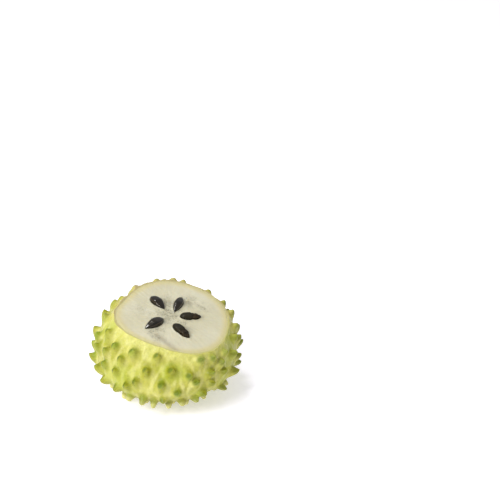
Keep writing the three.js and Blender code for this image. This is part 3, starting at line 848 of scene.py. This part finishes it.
cut_marks = {
    "core": core,
    "furrow": furrow,
    "rim": from_rim,
    "painted_shade_round_seeds": painted_shade_round_seeds,
    "painted_seed_shadow": painted_seed_shadow,
    "around": bell(from_core, ROUND_CORE, 4),
    "ash": ash,
    "spoke_x": spoke[..., 0],
    "spoke_y": spoke[..., 1],
    "spoke_z": spoke[..., 2],
}
blank = np.zeros(wall.shape[:-1])  # the wall has none of the marks of the cut
pulp_marks = {
    name: grid_values(np.concatenate([blank, values])) for name, values in cut_marks.items()
}
pulp = make_piece("pulp", pulp_corners, pulp_faces, pulp_marks)


def wet_pulp():
    """Cream white with finer fibres, yellower towards the rind. Painted shade lies round each seed
    and in the furrow, with a painted shadow beside each seed; the core and the smudges are grey
    brown, with streaks and dots round the core."""
    look, tree, shader, place, blotch, grain = new_look("wet_pulp", 45.0, 700.0)
    spokes = {way: mark(tree, "spoke_" + way.lower()) for way in "XYZ"}
    spokes = add(tree, "CombineXYZ", **spokes).outputs[0]
    fibre = rise(tree, noise(tree, spokes, 1.1, 5.0), 0.35, 0.65)
    rim, core, ash = mark(tree, "rim"), mark(tree, "core"), mark(tree, "ash")
    around = mark(tree, "around")
    cloud = noise(tree, place, 210.0, 3.0)
    cloudy = rise(tree, cloud, 0.4, 0.62)
    # Painted shadow that each seed casts on the pulp, broken up by the cloud
    seed_shadow_share = times(tree, mark(tree, "painted_seed_shadow"), rise(tree, cloud, 0.3, 0.6, 0.35, 1))
    streaks = times(tree, times(tree, rise(tree, fibre, 0.35, 0.9), cloudy), around)
    smudged = times(tree, ash, rise(tree, cloud, 0.3, 0.65))
    dots = rise(tree, noise(tree, place, 900.0, 2.0), 0.54, 0.64)
    dots = times(tree, dots, rise(tree, cloud, 0.35, 0.6))
    colour = painted(
        tree,
        blend(tree, blotch, paint(205, 200, 174), paint(197, 191, 161)),
        (times(tree, fibre, 0.14), paint(192, 186, 156)),
        (rise(tree, rim, 0.5, 7.0, 0.45, 0), paint(208, 196, 150)),
        (rise(tree, rim, 0.0, 4.8, 0.9, 0), paint(200, 189, 134)),
        # painted shade in the crevice round each seed
        (times(tree, mark(tree, "painted_shade_round_seeds"), 0.3), paint(168, 162, 138)),
        # painted shadow beside each seed
        (times(tree, seed_shadow_share, 0.6), paint(152, 147, 124)),
        # painted shade in the furrow
        (times(tree, mark(tree, "furrow"), 0.6), paint(160, 152, 128)),
        (times(tree, streaks, 0.5), paint(158, 154, 130)),
        (times(tree, times(tree, core, cloudy), 0.55), paint(160, 154, 122)),
        (times(tree, smudged, 0.6), paint(148, 142, 116)),
        (times(tree, times(tree, dots, around), 0.6), paint(118, 114, 92)),
        (times(tree, times(tree, dots, ash), 0.85), paint(104, 98, 78)),
    )
    tree.links.new(colour, shader.inputs["Base Color"])
    tree.links.new(rise(tree, grain, 0, 1, 0.5, 0.34), shader.inputs["Roughness"])
    bumpy(tree, shader, fibre, 0.12, 0.0003)
    soft_light(shader, 0.3, (0.004, 0.003, 0.0018))
    return look


pulp.data.materials.append(wet_pulp())
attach(pulp, "root")
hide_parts("flesh")


# ---- Stalk stub ----
# A short woody stub of the stalk, dry and broken off, with a collar where it grew into the fruit,
# in the dimple underneath.

STUB_LENGTH, STUB_RADIUS, STUB_COLLAR, STUB_GAP = 5.0, 2.4, 3.6, 0.45
COLLAR_AT, COLLAR_STEEPNESS = 0.55, 24
BARK_RIDGES, BARK_DEPTH, BARK_REACH = 9, 0.035, 3
BROKEN_RINGS = STUB_RADIUS * np.array([0, 0.25, 0.5, 0.75, 0.93])
BROKEN_LEVELS = np.array([0.75, 0.7, 0.45, 0.2, 0.05])
SPLINTERS_TO, BROKEN_TO, BROKEN_INSIDE = 0.9, 1, 0.95
STUB_COLUMNS = 72


def dry_stalk():
    """Dry brown bark with dark grain, and a paler broken end."""
    look, tree, shader, _, blotch, grain = new_look("dry_stalk", 300.0, 1600.0)
    colour = painted(
        tree,
        blend(tree, blotch, paint(112, 84, 50), paint(84, 62, 38)),
        (rise(tree, grain, 0, 1, 0.5, 0), paint(60, 44, 28)),
        (mark(tree, "broken"), paint(190, 160, 112)),
    )
    tree.links.new(colour, shader.inputs["Base Color"])
    shader.inputs["Roughness"].default_value = 0.85
    bumpy(tree, shader, grain, 0.6, 0.0004)
    return look


# A profile turned round its own axis: rings over the broken end, then the side, which flares into
# the collar, then back in along the skin of the dimple. Ridges of bark run up it.
stub_end = grow(np.array([0.0, 0.0, -LOWER_DEPTH]))
dimple_rings = STUB_COLLAR * np.linspace(0, 1, 9)
dimple_feet = body_point(0.0, -np.arccos(dimple_rings / WIDEST_RADIUS))
dimple_skin = peel_outside(dimple_feet)[0][:, 2] - STUB_GAP
end_level = dimple_skin[0] - STUB_LENGTH
side = np.linspace(0.03, 0.74, 24)
collar = 1 / (1 + np.exp(COLLAR_STEEPNESS * (COLLAR_AT - side)))
side_rings = STUB_RADIUS + (STUB_COLLAR - STUB_RADIUS) * collar
rings = np.concatenate([BROKEN_RINGS, side_rings, dimple_rings[::-1]])[:, None]
broken_levels, side_levels = end_level + BROKEN_LEVELS, end_level + STUB_LENGTH * side
levels = np.concatenate([broken_levels, side_levels, dimple_skin[::-1]])[:, None]
turn = np.linspace(0, 2 * np.pi, STUB_COLUMNS, endpoint=False)[None, :]
ridges = np.cos(BARK_RIDGES * turn + 1.5 * np.sin(2 * turn))
bark = 1 + BARK_DEPTH * ridges * bell(levels - end_level, BARK_REACH)
stub = np.stack([rings * bark * np.cos(turn), rings * bark * np.sin(turn), levels + 0 * turn], -1)
stub = stub + np.array([stub_end[0], stub_end[1], 0])
splinters = np.where(stub[..., 2] < end_level + SPLINTERS_TO, 1.0, 0.0) * (rings < STUB_RADIUS)
stub[..., 2] += splinters * ripple(stub, size=1.0, amount=0.12, seed=41)
stub_corners, stub_faces = closed_grid(stub)
inside = rings < STUB_RADIUS * BROKEN_INSIDE
broken = np.where(inside, levels < end_level + BROKEN_TO, 0.0) + 0 * turn
stalk = make_piece("stalk_stub", stub_corners, stub_faces, {"broken": grid_values(broken)})
stalk.data.materials.append(dry_stalk())
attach(stalk, "root")
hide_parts("stem")


# ---- Table, light and camera ----
# A plain pale table under a bright even sky, with one large soft light from the front left and a
# small one high up behind, which the glossy seeds reflect.

floor_mesh = bpy.data.meshes.new("table")
floor_mesh.from_pydata([(-6, -6, 0), (6, -6, 0), (6, 6, 0), (-6, 6, 0)], [], [(0, 1, 2, 3)])
table_top = bpy.data.objects.new("table", floor_mesh)
bpy.context.scene.collection.objects.link(table_top)
pale = bpy.data.materials.new("pale_table")
pale.use_nodes = True
pale_shader = pale.node_tree.nodes["Principled BSDF"].inputs
pale_shader["Base Color"].default_value = (0.86, 0.83, 0.94, 1)
pale_shader["Roughness"].default_value = 0.9
pale_shader["Emission Color"].default_value = (1, 1, 1, 1)
pale_shader["Emission Strength"].default_value = 0.4
floor_mesh.materials.append(pale)

world = bpy.data.worlds.new("even_sky")
world.use_nodes = True
world.node_tree.nodes["Background"].inputs["Color"].default_value = (0.97, 0.98, 1, 1)
world.node_tree.nodes["Background"].inputs["Strength"].default_value = 0.5
bpy.context.scene.world = world


def round_lamp(name, size, energy, place, target):
    """A round lamp at a place, facing its target."""
    lamp = bpy.data.lights.new(name, "AREA")
    lamp.shape, lamp.size, lamp.energy = "DISK", size, energy
    holder = bpy.data.objects.new(name, lamp)
    holder.location = place
    aim = np.array(target) - np.array(place)
    holder.rotation_euler = Vector(aim).to_track_quat("-Z", "Y").to_euler()
    bpy.context.scene.collection.objects.link(holder)


round_lamp("soft_window", 0.7, 16, (-0.75, -0.75, 0.95), (0, 0, 0.03))
round_lamp("small_ceiling_light", 0.22, 3.4, (-0.16, 0.42, 0.95), (0, 0, 0.06))

LOOKS_DOWN, TURNED_RIGHT = 27.935, 4.162
lens = bpy.data.cameras.new("camera")
lens.lens = 100
lens.sensor_width = 36
lens.clip_end = 20
camera = bpy.data.objects.new("camera", lens)
camera.location = (-0.0022, -0.8826, 0.5813)
camera.rotation_euler = np.radians([90 - LOOKS_DOWN, 0, -TURNED_RIGHT])
bpy.context.scene.collection.objects.link(camera)
bpy.context.scene.camera = camera
bpy.context.scene.view_settings.view_transform = "Standard"

bpy.context.view_layer.update()
